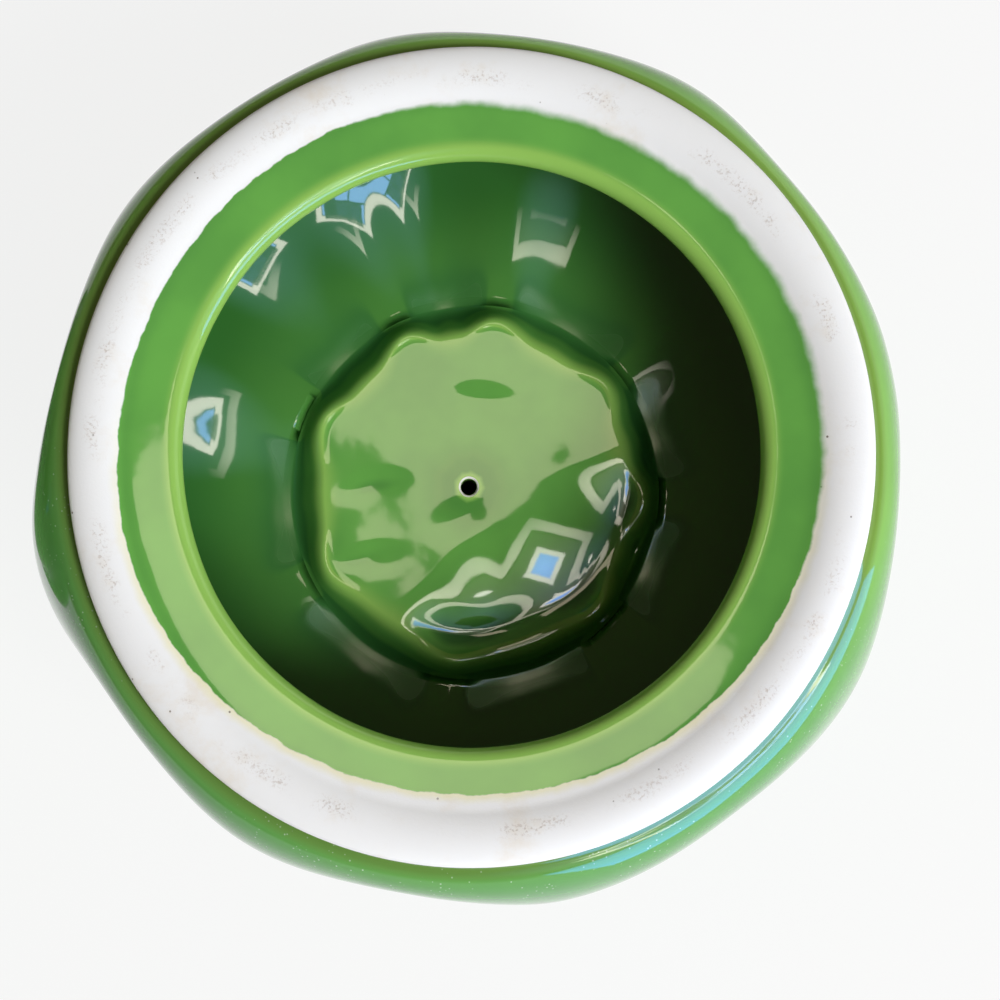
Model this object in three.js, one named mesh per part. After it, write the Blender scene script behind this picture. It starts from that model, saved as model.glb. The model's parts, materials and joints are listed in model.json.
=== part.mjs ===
// A lidded earthenware jar in the form of a bell pepper, green glaze over a white body.
// The jar stands on its flat foot at the origin. Its lid is shown taken off: it lies upturned beside
// the jar and leans on its stem and on two lobes. Millimetres, +Z up.
import * as THREE from "three";

// Wall of the castings and the gaps between them
const WALL = 6.5;
const SEAT_GAP = 0.3; // under the lid's seating band, and under the stem
const COLLAR_CLEARANCE = 2; // around the lid's collar, inside the jar's rim
const LYING_GAP = 86; // between the girths of the jar and of the lid beside it

// Lobes: the grooves between them, as turned from +X seen from above the closed jar
const GROOVE_ANGLES = [11, 53, 93, 138, 181, 229, 275, 316];
// How far each groove of the lid turns on its way up to the hollow
const GROOVE_DRIFTS = [7.4, 6.5, -1, -0.5, -2.7, -10.1, -2, 10.2];
const GROOVE_SHARPNESS = 2.2; // outside, where the glaze runs into the groove
const RIDGE_SHARPNESS = 1.3; // inside, where the cast wall rounds the same groove off
const STEPS_PER_LOBE = 8;
// No two lobes are equally full: what the girth's radius gains on the back of each lobe, and in the
// groove before it
const LOBE_FULLNESS = [3, 2.5, 4.2, 2.6, 4.5, 2.4, 1.8, 5.7];
const GROOVE_FULLNESS = [-1.1, -2.6, -0.9, -1.4, 1.7, 1.9, -0.8, -0.3];

// Lid, measured up from the plane on which its band rests
const COLLAR_RADIUS = 90;
const COLLAR_HEIGHT = 4;
const BAND_CONTACT_RADIUS = 85.6;
const BAND_BEVEL = 1.6; // rise of the band from its contact line out to the collar
const BAND_INNER_RADIUS = 78.4;
const BAND_INNER_RISE = 1.8;
const LID_OPENING_RADIUS = 65.2;
const SHELF_RISE = 3.8; // underside of the shelf at its lip
const SHELF_THICKNESS = 6.4;
const LID_GIRTH_RADIUS = 99.3;
const LID_GIRTH_HEIGHT = 28;
const FLARE_TURN = 0.8; // below 1 the dome leaves the collar flat and turns up late
const CREST_RADIUS = 51;
const CREST_HEIGHT = 66.5;
const HOLLOW_RADIUS = 35.5; // flat floor round the stem
const HOLLOW_FLOOR = 60;
const HOLLOW_OFFSET = [-1.2, -3.6]; // from the lid's axis to the middle of the hollow
const VENT_RADIUS = 2.05;
const VENT_OFFSET = [1.7, 0.3]; // from the middle of the hollow
const LID_GIRTH_GROOVE = 0.5;
const CREST_GROOVE = 4.5;
// Inside the lid a trough runs under the crest, round a plateau that is the underside of the hollow.
// The grooves show as ridges, which end in the plateau's eight corners.
const CAVITY_ARC = 74; // of the quarter ellipse of the inner wall, which so meets the trough on a slope
const TROUGH_RADIUS = 47;
const TROUGH_HEIGHT = 60.5;
const RIDGE_HEIGHT = 2.2; // over the trough and the wall
const PLATEAU_RADIUS = 37.6; // between the corners
const PLATEAU_CORNER = 2.9; // how much further a corner reaches
const OVALITY = 0.0125; // the fired lid is this share narrower along X and wider along Y

// Stem, hollow and cast by itself, then stuck into the hollow of the lid
const STEM_FOOT_RADIUS = 17;
const STEM_NECK_RADIUS = 9.5;
const STEM_END_RADIUS = 11;
const STEM_RISE = 28;
const STEM_BEND = 10;
const STEM_CAVITY_RADIUS = 5.5;
const STEM_CAVITY_DEPTH = 20;
const SEPALS = 6;
const SEPAL_REACH = 2.6;
const STEPS_PER_SEPAL = 5;

// Jar
const FOOT_RADIUS = 52;
const UNDERSIDE_RISE = 5; // lifts the lobes off the floor round the foot
const BELLY_TURN_RADIUS = 84; // the underside heads for this radius before it turns up
const BELLY_TURN_HEIGHT = 56; // and the flank heads straight down to this height
const JAR_GIRTH_RADIUS = 99.3;
const JAR_GIRTH_HEIGHT = 138;
const LEDGE_HEIGHT = 165;
const JAR_MOUTH_RADIUS = 76;
const LEDGE_THICKNESS = 7;
const RIM_WIDTH = 3.6;
const RIM_HEIGHT = 3;
const JAR_GIRTH_GROOVE = 0.5;
const BELLY_GROOVE = 11;

const degrees = THREE.MathUtils.degToRad;
const mix = THREE.MathUtils.lerp;

const green = { color: 0x3f8b3a, roughness: 0.12, metalness: 0 };
const jarGlaze = new THREE.MeshStandardMaterial(green);
const lidGlaze = new THREE.MeshStandardMaterial(green);
const stemGlaze = new THREE.MeshStandardMaterial({ color: 0x6d9a3c, roughness: 0.16, metalness: 0 });

// A smooth way from one value to another
const ease = (start, end, share) => mix(start, end, (1 - Math.cos(Math.PI * share)) / 2);

// The lengthwise lines, so many to each lobe, with a line in every groove: the angle, its drift, the
// share of the way from one groove to the next, and the fullness there
function lobeLines() {
  const lines = [];
  GROOVE_ANGLES.forEach((start, k) => {
    const following = (k + 1) % GROOVE_ANGLES.length;
    const next = GROOVE_ANGLES[following];
    const span = next > start ? next - start : next - start + 360;
    for (let step = 0; step < STEPS_PER_LOBE; step++) {
      const share = step / STEPS_PER_LOBE;
      const fullness =
        share < 0.5
          ? ease(GROOVE_FULLNESS[k], LOBE_FULLNESS[k], 2 * share)
          : ease(LOBE_FULLNESS[k], GROOVE_FULLNESS[following], 2 * share - 1);
      const drift = degrees(mix(GROOVE_DRIFTS[k], GROOVE_DRIFTS[following], share));
      lines.push({ angle: degrees(start + span * share), drift, share, fullness });
    }
  });
  return [...lines, lines[0]];
}

// 1 in a groove and 0 on the back of a lobe, for a share of the way from one groove to the next
const groove = (share, sharpness) => ((1 + Math.cos(2 * Math.PI * share)) / 2) ** sharpness;

// Turns a curve r(t), z(t) into points with the unit direction across the wall, from outside to inside.
// swell(t) is the share of the lobe's fullness that a point takes, and drift(t) that of the drift.
function wallPoints(curve, steps, grooveDepth, swell = () => 0, drift = () => 0) {
  const nudge = 1e-4;
  return Array.from({ length: steps + 1 }, (_, k) => {
    const t = k / steps;
    const [r, z] = curve(t);
    const [r0, z0] = curve(Math.max(t - nudge, 0));
    const [r1, z1] = curve(Math.min(t + nudge, 1));
    const length = Math.hypot(r1 - r0, z1 - z0);
    const across = { inR: -(z1 - z0) / length, inZ: (r1 - r0) / length };
    return { r, z, ...across, depth: grooveDepth(t), swell: swell(t), drift: drift(t) };
  });
}

const outside = (p) => ({ ...p, sharpness: GROOVE_SHARPNESS });
const ridged = (p) => ({ ...p, sharpness: RIDGE_SHARPNESS });
const inside = (p) => ridged({ ...p, r: p.r + p.inR * WALL, z: p.z + p.inZ * WALL });
const plain = (r, z) => ({ r, z, inR: 0, inZ: 0, depth: 0, swell: 0, drift: 0, sharpness: 1 });

// A half round edge that turns anticlockwise in the r, z plane from an angle of its own
function halfRound(r, z, radius, from, steps) {
  return Array.from({ length: steps + 1 }, (_, k) => {
    const a = from + Math.PI * (k / steps);
    return plain(r + radius * Math.cos(a), z + radius * Math.sin(a));
  });
}

// The rounded lip of a shelf that faces the axis, from its upper face round to its underside
const lip = (radius, top, under) => {
  const round = (top - under) / 2;
  return halfRound(radius + round, under + round, round, Math.PI / 2, 6);
};

// Revolves a profile and pushes each point into its groove. offset(r) is how far off the axis the ring
// of a radius is centred.
function lobedBody(profile, offset = () => [0, 0]) {
  const lines = lobeLines();
  const outline = profile.map((p) => new THREE.Vector2(p.r, p.z));
  const geometry = new THREE.LatheGeometry(outline, lines.length - 1);
  const position = geometry.getAttribute("position");
  lines.forEach(({ angle, drift, share, fullness }, turn) => {
    profile.forEach((p, k) => {
      const push = p.depth * groove(share, p.sharpness) - p.swell * fullness;
      const r = p.r + p.inR * push;
      const z = p.z + p.inZ * push;
      const turned = angle + drift * p.drift;
      const [dx, dy] = offset(p.r);
      position.setXYZ(turn * profile.length + k, r * Math.cos(turned) + dx, r * Math.sin(turned) + dy, z);
    });
  });
  geometry.computeVertexNormals();
  return geometry;
}

// Outer line of the lid, from the collar out to the girth, over the crest and down to the vent
const lidFlare = (t) => {
  const a = (Math.PI / 2) * t;
  return [
    mix(COLLAR_RADIUS, LID_GIRTH_RADIUS, Math.sin(a) ** FLARE_TURN),
    mix(LID_GIRTH_HEIGHT, COLLAR_HEIGHT, Math.cos(a)),
  ];
};
const lidDome = (t) => {
  const a = (Math.PI / 2) * t;
  return [
    mix(CREST_RADIUS, LID_GIRTH_RADIUS, Math.cos(a)),
    mix(LID_GIRTH_HEIGHT, CREST_HEIGHT, Math.sin(a)),
  ];
};
const lidHollow = (t) => [
  mix(CREST_RADIUS, HOLLOW_RADIUS, t),
  mix(HOLLOW_FLOOR, CREST_HEIGHT, (1 + Math.cos(Math.PI * t)) / 2),
];

// Inner line of the lid, from the girth to the trough and on to the edge of the plateau
const cavityDome = (t) => {
  const arc = degrees(CAVITY_ARC);
  const share = (Math.cos(arc * t) - Math.cos(arc)) / (1 - Math.cos(arc));
  return [
    mix(TROUGH_RADIUS, LID_GIRTH_RADIUS - WALL, share),
    mix(LID_GIRTH_HEIGHT, TROUGH_HEIGHT, Math.sin(arc * t) / Math.sin(arc)),
  ];
};
const plateauSide = (t) => [
  mix(TROUGH_RADIUS, PLATEAU_RADIUS, t),
  mix(HOLLOW_FLOOR - WALL, TROUGH_HEIGHT, (1 + Math.cos(Math.PI * t)) / 2),
];
// A ridge rises out of the trough, and turns into a corner that reaches outwards from the plateau
const plateauPoint = (p, k, { length }) => {
  const t = k / (length - 1);
  const a = (Math.PI / 2) * t;
  return { ...p, inR: Math.sin(a), inZ: -Math.cos(a), sharpness: mix(RIDGE_SHARPNESS, GROOVE_SHARPNESS, t) };
};

// Rings inside the crest are centred on the hollow, and those outside it come back to the axis
const hollowOffset = (r) => {
  const share = 1 - THREE.MathUtils.smoothstep(r, CREST_RADIUS * 0.75, LID_GIRTH_RADIUS * 0.85);
  return HOLLOW_OFFSET.map((offset) => offset * share);
};
const ventOffset = (r) => {
  const share = Math.max(0, 1 - r / HOLLOW_RADIUS);
  return hollowOffset(r).map((offset, k) => offset + VENT_OFFSET[k] * share);
};

function lidShell() {
  const domeGroove = (t) => mix(LID_GIRTH_GROOVE, CREST_GROOVE, t ** 1.5);
  const flare = wallPoints(lidFlare, 4, (t) => LID_GIRTH_GROOVE * t ** 2, (t) => t ** 2);
  const dome = wallPoints(lidDome, 7, domeGroove, (t) => (1 - t) ** 2, (t) => t);
  const hollow = wallPoints(lidHollow, 6, (t) => CREST_GROOVE * (1 - t) ** 1.5, () => 0, () => 1);
  const outer = [...flare, ...dome.slice(1), ...hollow.slice(1)];
  const ridge = (t) => mix(LID_GIRTH_GROOVE, RIDGE_HEIGHT, THREE.MathUtils.smoothstep(t, 0, 0.65));
  const innerDome = wallPoints(cavityDome, 7, ridge, (t) => (1 - t) ** 2, (t) => t).map(ridged);
  const plateauDepth = (t) => mix(RIDGE_HEIGHT, PLATEAU_CORNER, t);
  const plateau = wallPoints(plateauSide, 6, plateauDepth, () => 0, () => 1).map(plateauPoint);
  const shelfTop = SHELF_RISE + SHELF_THICKNESS;
  // the cavity wall ends where it meets the upper face of the shelf
  const innerFlare = flare.map(inside).filter((p) => p.z > shelfTop + 1);
  const cavity = [...innerFlare, ...innerDome.slice(1), ...plateau.slice(1)];
  const profile = [
    ...outer.map(outside),
    plain(VENT_RADIUS, HOLLOW_FLOOR),
    plain(VENT_RADIUS, HOLLOW_FLOOR - WALL),
    ...cavity.reverse(),
    plain(COLLAR_RADIUS - WALL, shelfTop),
    ...lip(LID_OPENING_RADIUS, shelfTop, SHELF_RISE),
    plain(BAND_INNER_RADIUS, BAND_INNER_RISE),
    plain(BAND_CONTACT_RADIUS, 0),
    plain(COLLAR_RADIUS, BAND_BEVEL),
    outside(flare[0]),
  ];
  return lobedBody(profile, ventOffset).scale(1 - OVALITY, 1 + OVALITY, 1);
}

// The stem's centre line bends over towards +X
function stemLine() {
  return new THREE.QuadraticBezierCurve3(
    new THREE.Vector3(0, 0, 0),
    new THREE.Vector3(0, 0, STEM_RISE * 0.6),
    new THREE.Vector3(STEM_BEND, 0, STEM_RISE),
  );
}

function stemCasting() {
  const endRound = STEM_END_RADIUS * 0.25;
  // radius, and share of the way along the centre line
  const profile = [
    [0, STEM_CAVITY_DEPTH / STEM_RISE],
    [STEM_CAVITY_RADIUS * 0.8, STEM_CAVITY_DEPTH / STEM_RISE],
    [STEM_CAVITY_RADIUS, (STEM_CAVITY_DEPTH - STEM_CAVITY_RADIUS * 0.6) / STEM_RISE],
    [STEM_CAVITY_RADIUS, 0],
    [STEM_FOOT_RADIUS, 0],
    [STEM_FOOT_RADIUS, 0.06],
    [mix(STEM_NECK_RADIUS, STEM_FOOT_RADIUS, 0.6), 0.16],
    [mix(STEM_NECK_RADIUS, STEM_FOOT_RADIUS, 0.15), 0.3],
    [STEM_NECK_RADIUS, 0.46],
    [mix(STEM_NECK_RADIUS, STEM_END_RADIUS, 0.5), 0.7],
    [STEM_END_RADIUS, 0.9],
    [STEM_END_RADIUS - endRound * 0.3, 0.97],
    [STEM_END_RADIUS - endRound, 1],
    [0, 0.98],
  ];
  const line = stemLine();
  const sideways = new THREE.Vector3(0, 1, 0);
  const turns = SEPALS * STEPS_PER_SEPAL;
  const geometry = new THREE.LatheGeometry(profile.map(([r, s]) => new THREE.Vector2(r, s)), turns);
  const position = geometry.getAttribute("position");
  for (let turn = 0; turn <= turns; turn++) {
    const angle = (2 * Math.PI * (turn % turns)) / turns;
    profile.forEach(([r, s], k) => {
      const centre = line.getPoint(s);
      const along = line.getTangent(s);
      const across = new THREE.Vector3().crossVectors(sideways, along);
      const flare = Math.max(0, (r - STEM_END_RADIUS) / (STEM_FOOT_RADIUS - STEM_END_RADIUS));
      const reach = r + SEPAL_REACH * flare * Math.cos(SEPALS * angle);
      centre.addScaledVector(across, reach * Math.cos(angle));
      centre.addScaledVector(sideways, reach * Math.sin(angle));
      position.setXYZ(turn * profile.length + k, centre.x, centre.y, centre.z);
    });
  }
  geometry.translate(...HOLLOW_OFFSET, HOLLOW_FLOOR + SEAT_GAP);
  geometry.computeVertexNormals();
  return geometry;
}

// Outer line of the jar, from the edge of the foot round the belly to the girth, and on to the rim
const jarBelly = (t) => {
  const line = new THREE.CubicBezierCurve(
    new THREE.Vector2(FOOT_RADIUS, 0),
    new THREE.Vector2(BELLY_TURN_RADIUS, UNDERSIDE_RISE),
    new THREE.Vector2(JAR_GIRTH_RADIUS, BELLY_TURN_HEIGHT),
    new THREE.Vector2(JAR_GIRTH_RADIUS, JAR_GIRTH_HEIGHT),
  );
  const point = line.getPoint(t);
  return [point.x, point.y];
};
const rimInner = COLLAR_RADIUS + COLLAR_CLEARANCE;
const rimTop = LEDGE_HEIGHT + RIM_HEIGHT;
const jarShoulder = (t) => {
  const a = (Math.PI / 2) * t;
  return [
    mix(rimInner + RIM_WIDTH, JAR_GIRTH_RADIUS, Math.cos(a) ** 1.2),
    mix(JAR_GIRTH_HEIGHT, rimTop - RIM_WIDTH / 2, Math.sin(a)),
  ];
};

function jarBody() {
  const fade = (t) => THREE.MathUtils.smoothstep(t, 0, 0.25); // the foot stays round
  const bellyGroove = (t) => mix(JAR_GIRTH_GROOVE, BELLY_GROOVE, (1 - t) ** 0.8) * fade(t);
  const belly = wallPoints(jarBelly, 10, bellyGroove, (t) => t ** 2);
  const shoulder = wallPoints(jarShoulder, 5, (t) => JAR_GIRTH_GROOVE * (1 - t) ** 1.5, (t) => (1 - t) ** 2);
  const outer = [...belly, ...shoulder.slice(1)];
  const ledgeUnder = LEDGE_HEIGHT - LEDGE_THICKNESS;
  // the inner wall ends where it meets the underside of the ledge
  const cavity = outer.map(inside).filter((p) => p.z < ledgeUnder - 1);
  const profile = [
    plain(0, 0),
    ...outer.map(outside),
    ...halfRound(rimInner + RIM_WIDTH / 2, rimTop - RIM_WIDTH / 2, RIM_WIDTH / 2, 0, 4).slice(1),
    plain(rimInner, LEDGE_HEIGHT),
    ...lip(JAR_MOUTH_RADIUS, LEDGE_HEIGHT, ledgeUnder),
    ...cavity.reverse(),
    plain(0, WALL),
  ];
  return lobedBody(profile);
}

function named(name, geometry, material) {
  const mesh = new THREE.Mesh(geometry, material);
  mesh.name = name;
  return mesh;
}

// Lowest point of a geometry that hangs upturned and leans over by an angle
function lowest(geometry, lean) {
  const position = geometry.getAttribute("position");
  let low = Infinity;
  for (let k = 0; k < position.count; k++) {
    low = Math.min(low, position.getX(k) * Math.sin(lean) - position.getZ(k) * Math.cos(lean));
  }
  return low;
}

// The upturned lid leans over until its lobes are as low as the end of its stem
function leanOf(shell, stem) {
  let upright = 0;
  let lying = Math.PI / 3;
  for (let step = 0; step < 40; step++) {
    const lean = (upright + lying) / 2;
    if (lowest(shell, lean) > lowest(stem, lean)) upright = lean;
    else lying = lean;
  }
  return (upright + lying) / 2;
}

const jar = named("jar_body", jarBody(), jarGlaze);
const shell = named("lid_shell", lidShell(), lidGlaze);
const stem = named("lid_stem", stemCasting(), stemGlaze);

const lid = new THREE.Group();
lid.add(shell, stem);
const lean = leanOf(shell.geometry, stem.geometry);
const turn = Math.PI + lean;
lid.rotation.y = turn;
lid.position.set(JAR_GIRTH_RADIUS + LID_GIRTH_RADIUS + LYING_GAP, 0, -lowest(stem.geometry, lean));

// The one axis about which the lid swings over from where it lies to its seat on the jar
const seat = new THREE.Vector3(0, 0, LEDGE_HEIGHT + SEAT_GAP);
const middle = seat.clone().add(lid.position).divideScalar(2);
const chord = seat.clone().sub(lid.position);
const reach = 0.5 / Math.tan(turn / 2);
const swing = new THREE.Vector3(middle.x - chord.z * reach, 0, middle.z + chord.x * reach);

const group = new THREE.Group();
group.add(jar, lid);
group.userData.lidSwing = { centre: swing.toArray(), turn: THREE.MathUtils.radToDeg(turn) };

export default group;
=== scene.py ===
# %% [markdown]
# # A bell pepper jar, its lid lying upturned
# The real object is slip-cast earthenware: white clay poured into plaster moulds, fired, dipped in a
# glossy green glaze and fired again. A potter wipes the glaze off wherever two pieces touch, or the
# kiln would weld them together, so the lid has a bare white band. The measured model gives the place
# and the size of each casting. This lesson models the same castings finely and glazes them.

# %% Load the measured model
import json
import math

import bmesh
import bpy
from mathutils import Matrix, Vector, noise


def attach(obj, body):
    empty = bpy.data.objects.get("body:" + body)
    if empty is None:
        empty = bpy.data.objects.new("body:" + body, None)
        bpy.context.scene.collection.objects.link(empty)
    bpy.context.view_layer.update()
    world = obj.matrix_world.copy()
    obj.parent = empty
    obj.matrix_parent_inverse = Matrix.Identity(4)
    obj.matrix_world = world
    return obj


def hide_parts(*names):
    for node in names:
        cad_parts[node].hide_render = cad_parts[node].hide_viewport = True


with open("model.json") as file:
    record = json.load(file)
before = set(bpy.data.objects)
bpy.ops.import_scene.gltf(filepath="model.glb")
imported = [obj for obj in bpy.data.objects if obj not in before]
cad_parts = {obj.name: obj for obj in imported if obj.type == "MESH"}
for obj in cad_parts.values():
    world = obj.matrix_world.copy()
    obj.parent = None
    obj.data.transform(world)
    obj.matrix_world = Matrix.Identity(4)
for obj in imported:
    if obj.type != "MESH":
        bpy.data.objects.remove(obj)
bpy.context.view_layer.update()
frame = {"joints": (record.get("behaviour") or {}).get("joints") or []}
MM = 0.001

# %% [markdown]
# ## Where the lid lies
# The lid is easiest to model the right way up, with its band at height zero. The one joint of the
# model swings the lid from where it lies onto the jar. Turned backwards, the same swing takes a lid
# that is modelled on the jar to the place where it lies, so nothing has to be fitted by eye.

# %% The lid's place, seated and lying
LEDGE_HEIGHT = 165.0
SEAT_GAP = 0.3
swing = next(joint for joint in frame["joints"] if joint["name"] == "lid_swing")
pivot = Vector(swing["pos_m"])
full_turn = math.radians(swing["range_deg"][1])
seated = Matrix.Translation((0, 0, (LEDGE_HEIGHT + SEAT_GAP) * MM))
turned_back = Matrix.Rotation(-full_turn, 4, Vector(swing["axis"]))
lying = Matrix.Translation(pivot) @ turned_back @ Matrix.Translation(-pivot) @ seated
print("the lid's band lies at", [round(value, 4) for value in lying.translation])

# %% [markdown]
# ## The photographer's view
# The photographer looked into the lid from 8 degrees off its axis. Two directions across the lid are
# fixed by what the picture shows as right and up, and they also give every spot on the lid a place
# that can be read off the picture.

# %% Directions across the lid, and the camera
PICTURE_RIGHT = math.radians(175)  # turned from the lid's own +X, with the lid the right way up
VIEW_TILT = math.radians(8)
VIEW_DISTANCE = 400.0
VIEW_WIDTH = 219.1  # what the picture takes in at the band, in mm
PICTURE_PIXELS = 1000
AXIS_PIXEL = (471.6, 443.5)  # where the lid's axis passes through its band
across = Vector((math.cos(PICTURE_RIGHT), math.sin(PICTURE_RIGHT), 0))
upwards = Vector((math.sin(PICTURE_RIGHT), -math.cos(PICTURE_RIGHT), 0))
turn_only = lying.to_3x3()
view_right = turn_only @ across
view_up = turn_only @ upwards
out_of_lid = turn_only @ Vector((0, 0, -1))

camera_data = bpy.data.cameras.new("photographer")
camera_data.sensor_width = 36.0
camera_data.lens = camera_data.sensor_width * VIEW_DISTANCE / VIEW_WIDTH
camera_data.shift_x = 0.5 - AXIS_PIXEL[0] / PICTURE_PIXELS
camera_data.shift_y = AXIS_PIXEL[1] / PICTURE_PIXELS - 0.5
camera_data.clip_start = 0.01
camera = bpy.data.objects.new("photographer", camera_data)
bpy.context.scene.collection.objects.link(camera)
to_camera = out_of_lid * math.cos(VIEW_TILT) - view_up * math.sin(VIEW_TILT)
camera_up = view_up * math.cos(VIEW_TILT) + out_of_lid * math.sin(VIEW_TILT)
camera_turn = Matrix((view_right, camera_up, to_camera)).transposed().to_4x4()
camera_place = lying.translation + to_camera * VIEW_DISTANCE * MM
camera.matrix_world = Matrix.Translation(camera_place) @ camera_turn
bpy.context.scene.camera = camera
print("camera at", [round(value, 3) for value in camera_place], "lens", round(camera_data.lens, 1), "mm")

# %% [markdown]
# ## Lobes
# Both castings have the same eight lobes, so that they line up when the lid is on. A profile is spun
# into a smooth round pot first, as on a wheel. Then each point is pushed across the wall by the depth
# of the groove at its angle, as a sculptor would press the grooves in. No two lobes are alike, and on
# the lid the grooves drift sideways on their way up to the stem.

# %% Grooves, shared by the jar and the lid
GROOVE_ANGLES = [11, 53, 93, 138, 181, 229, 275, 316]
GROOVE_DRIFTS = [7.4, 6.5, -1, -0.5, -2.7, -10.1, -2, 10.2]
LOBE_FULLNESS = [3, 2.5, 4.2, 2.6, 4.5, 2.4, 1.8, 5.7]
GROOVE_FULLNESS = [-1.1, -2.6, -0.9, -1.4, 1.7, 1.9, -0.8, -0.3]
GROOVE_SHARPNESS = 2.2
RIDGE_SHARPNESS = 1.3
WALL = 6.5


def mix(start, end, share):
    return start + (end - start) * share


def ease(start, end, share):
    return mix(start, end, (1 - math.cos(math.pi * share)) / 2)


def smooth_share(value, low, high):
    t = min(1, max(0, (value - low) / (high - low)))
    return t * t * (3 - 2 * t)


def groove(share, sharpness):
    return ((1 + math.cos(2 * math.pi * share)) / 2) ** sharpness


def lobe_at(angle):
    """For an angle in degrees: the share of the way across its lobe, the fullness and the drift."""
    for lobe, start in enumerate(GROOVE_ANGLES):
        following = (lobe + 1) % len(GROOVE_ANGLES)
        share = ((angle - start) % 360) / ((GROOVE_ANGLES[following] - start) % 360)
        if share < 1:
            if share < 0.5:
                fullness = ease(GROOVE_FULLNESS[lobe], LOBE_FULLNESS[lobe], 2 * share)
            else:
                fullness = ease(LOBE_FULLNESS[lobe], GROOVE_FULLNESS[following], 2 * share - 1)
            return share, fullness, ease(GROOVE_DRIFTS[lobe], GROOVE_DRIFTS[following], share)
    return 0, GROOVE_FULLNESS[0], GROOVE_DRIFTS[0]


following_grooves = GROOVE_ANGLES[1:] + GROOVE_ANGLES[:1]
lobe_spans = [(end - start) % 360 for start, end in zip(GROOVE_ANGLES, following_grooves)]
print("the lobes span", lobe_spans, "degrees")

# %% [markdown]
# A profile point carries more than its radius and height: the direction across the wall, how deep the
# groove is there, how much of its lobe's fullness and drift it takes, how sharp the groove is, whether
# the clay is bare, and how much painted shade darkens its glaze. Blender can store such values on the
# points of a mesh, and a spin copies them to every point that it makes.

# %% Profile points and the spin
PRESS_VALUES = ("in_r", "in_z", "depth", "swell", "drift", "sharp")


def point(r, z, in_r=0.0, in_z=0.0, depth=0.0, swell=0.0, drift=0.0, sharp=1.0, **finish):
    wall = dict(in_r=in_r, in_z=in_z, depth=depth, swell=swell, drift=drift, sharp=sharp)
    return dict(r=r, z=z, **wall, **finish)


def wall_points(curve, steps, groove_depth, swell=lambda t: 0.0, drift=lambda t: 0.0):
    """Points along a curve. Each measure of the wall is a function of the share of the way along it."""
    nudge = 1e-4
    points = []
    for k in range(steps + 1):
        t = k / steps
        r, z = curve(t)
        r0, z0 = curve(max(t - nudge, 0))
        r1, z1 = curve(min(t + nudge, 1))
        length = math.hypot(r1 - r0, z1 - z0)
        in_r, in_z = -(z1 - z0) / length, (r1 - r0) / length
        points.append(point(r, z, in_r, in_z, groove_depth(t), swell(t), drift(t)))
    return points


def outside(p):
    return dict(p, sharp=GROOVE_SHARPNESS)


# Inner-wall points get the full painted shade: a darker glaze colour standing in for the shade inside the
# lid and the jar.
def ridged(p):
    return dict(p, sharp=RIDGE_SHARPNESS, pooled=1.0)


def inside(p):
    return ridged(dict(p, r=p["r"] + p["in_r"] * WALL, z=p["z"] + p["in_z"] * WALL))


def half_round(r, z, radius, start, steps):
    angles = [start + math.pi * k / steps for k in range(steps + 1)]
    return [point(r + radius * math.cos(a), z + radius * math.sin(a)) for a in angles]


def straight(start, end, steps, **finish):
    """Points after the start, up to and with the end."""
    return [
        point(mix(start[0], end[0], k / steps), mix(start[1], end[1], k / steps), **finish)
        for k in range(1, steps + 1)
    ]


MERGE_DISTANCE = 1e-4


def spun(profile, steps, closed):
    """A bmesh in millimetres: the profile spun round Z."""
    bm = bmesh.new()
    layers = {name: bm.verts.layers.float.new(name) for name in (*PRESS_VALUES, "bare", "pooled")}
    verts = []
    for p in profile:
        vert = bm.verts.new((p["r"], 0, p["z"]))
        for name, layer in layers.items():
            vert[layer] = p.get(name, 0.0)
        verts.append(vert)
    pairs = list(zip(verts, verts[1:]))
    if closed:
        pairs.append((verts[-1], verts[0]))
    edges = [bm.edges.new(pair) for pair in pairs]
    bmesh.ops.spin(
        bm,
        geom=verts + edges,
        cent=(0, 0, 0),
        axis=(0, 0, 1),
        angle=2 * math.pi,
        steps=steps,
        use_merge=True,
    )
    bmesh.ops.remove_doubles(bm, verts=bm.verts, dist=MERGE_DISTANCE)
    bmesh.ops.recalc_face_normals(bm, faces=bm.faces)
    return bm


def press_lobes(bm, offset=lambda radius, height: (0, 0)):
    """Presses the grooves in, and moves each point sideways by its offset."""
    layers = {name: bm.verts.layers.float.get(name) for name in PRESS_VALUES}
    for vert in bm.verts:
        radius = math.hypot(vert.co.x, vert.co.y)
        dx, dy = offset(radius, vert.co.z)
        if radius > 1e-6:
            angle = math.degrees(math.atan2(vert.co.y, vert.co.x))
            share, fullness, drift = lobe_at(angle)
            push = vert[layers["depth"]] * groove(share, vert[layers["sharp"]])
            push -= vert[layers["swell"]] * fullness
            turned = math.radians(angle + vert[layers["drift"]] * drift)
            radius += vert[layers["in_r"]] * push
            vert.co.x = radius * math.cos(turned)
            vert.co.y = radius * math.sin(turned)
            vert.co.z += vert[layers["in_z"]] * push
        vert.co.x += dx
        vert.co.y += dy


# %% [markdown]
# ## What the hand and the kiln leave behind
# A cast wall is never quite true: sponging and drying leave waves a few centimetres long that show
# only in the reflections. Molten glaze runs off edges and gathers in hollows, so it's thin and pale on
# the first and deep green in the second. How sharply the surface bends tells both apart, and that is
# measured on the mesh here and kept on its points for the glaze to use.

# %% Waves of the wall, and where the glaze gathers
def unevenness(bm, length, height, keep_flat):
    """Waves of a length and a height in millimetres, but none where keep_flat is 1."""
    bm.normal_update()
    moves = []
    for vert in bm.verts:
        wave = noise.noise(vert.co / length) * height * (1 - keep_flat(vert))
        moves.append(vert.normal * wave)
    for vert, move in zip(bm.verts, moves):
        vert.co += move


SMOOTHING_PASSES = 14


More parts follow.
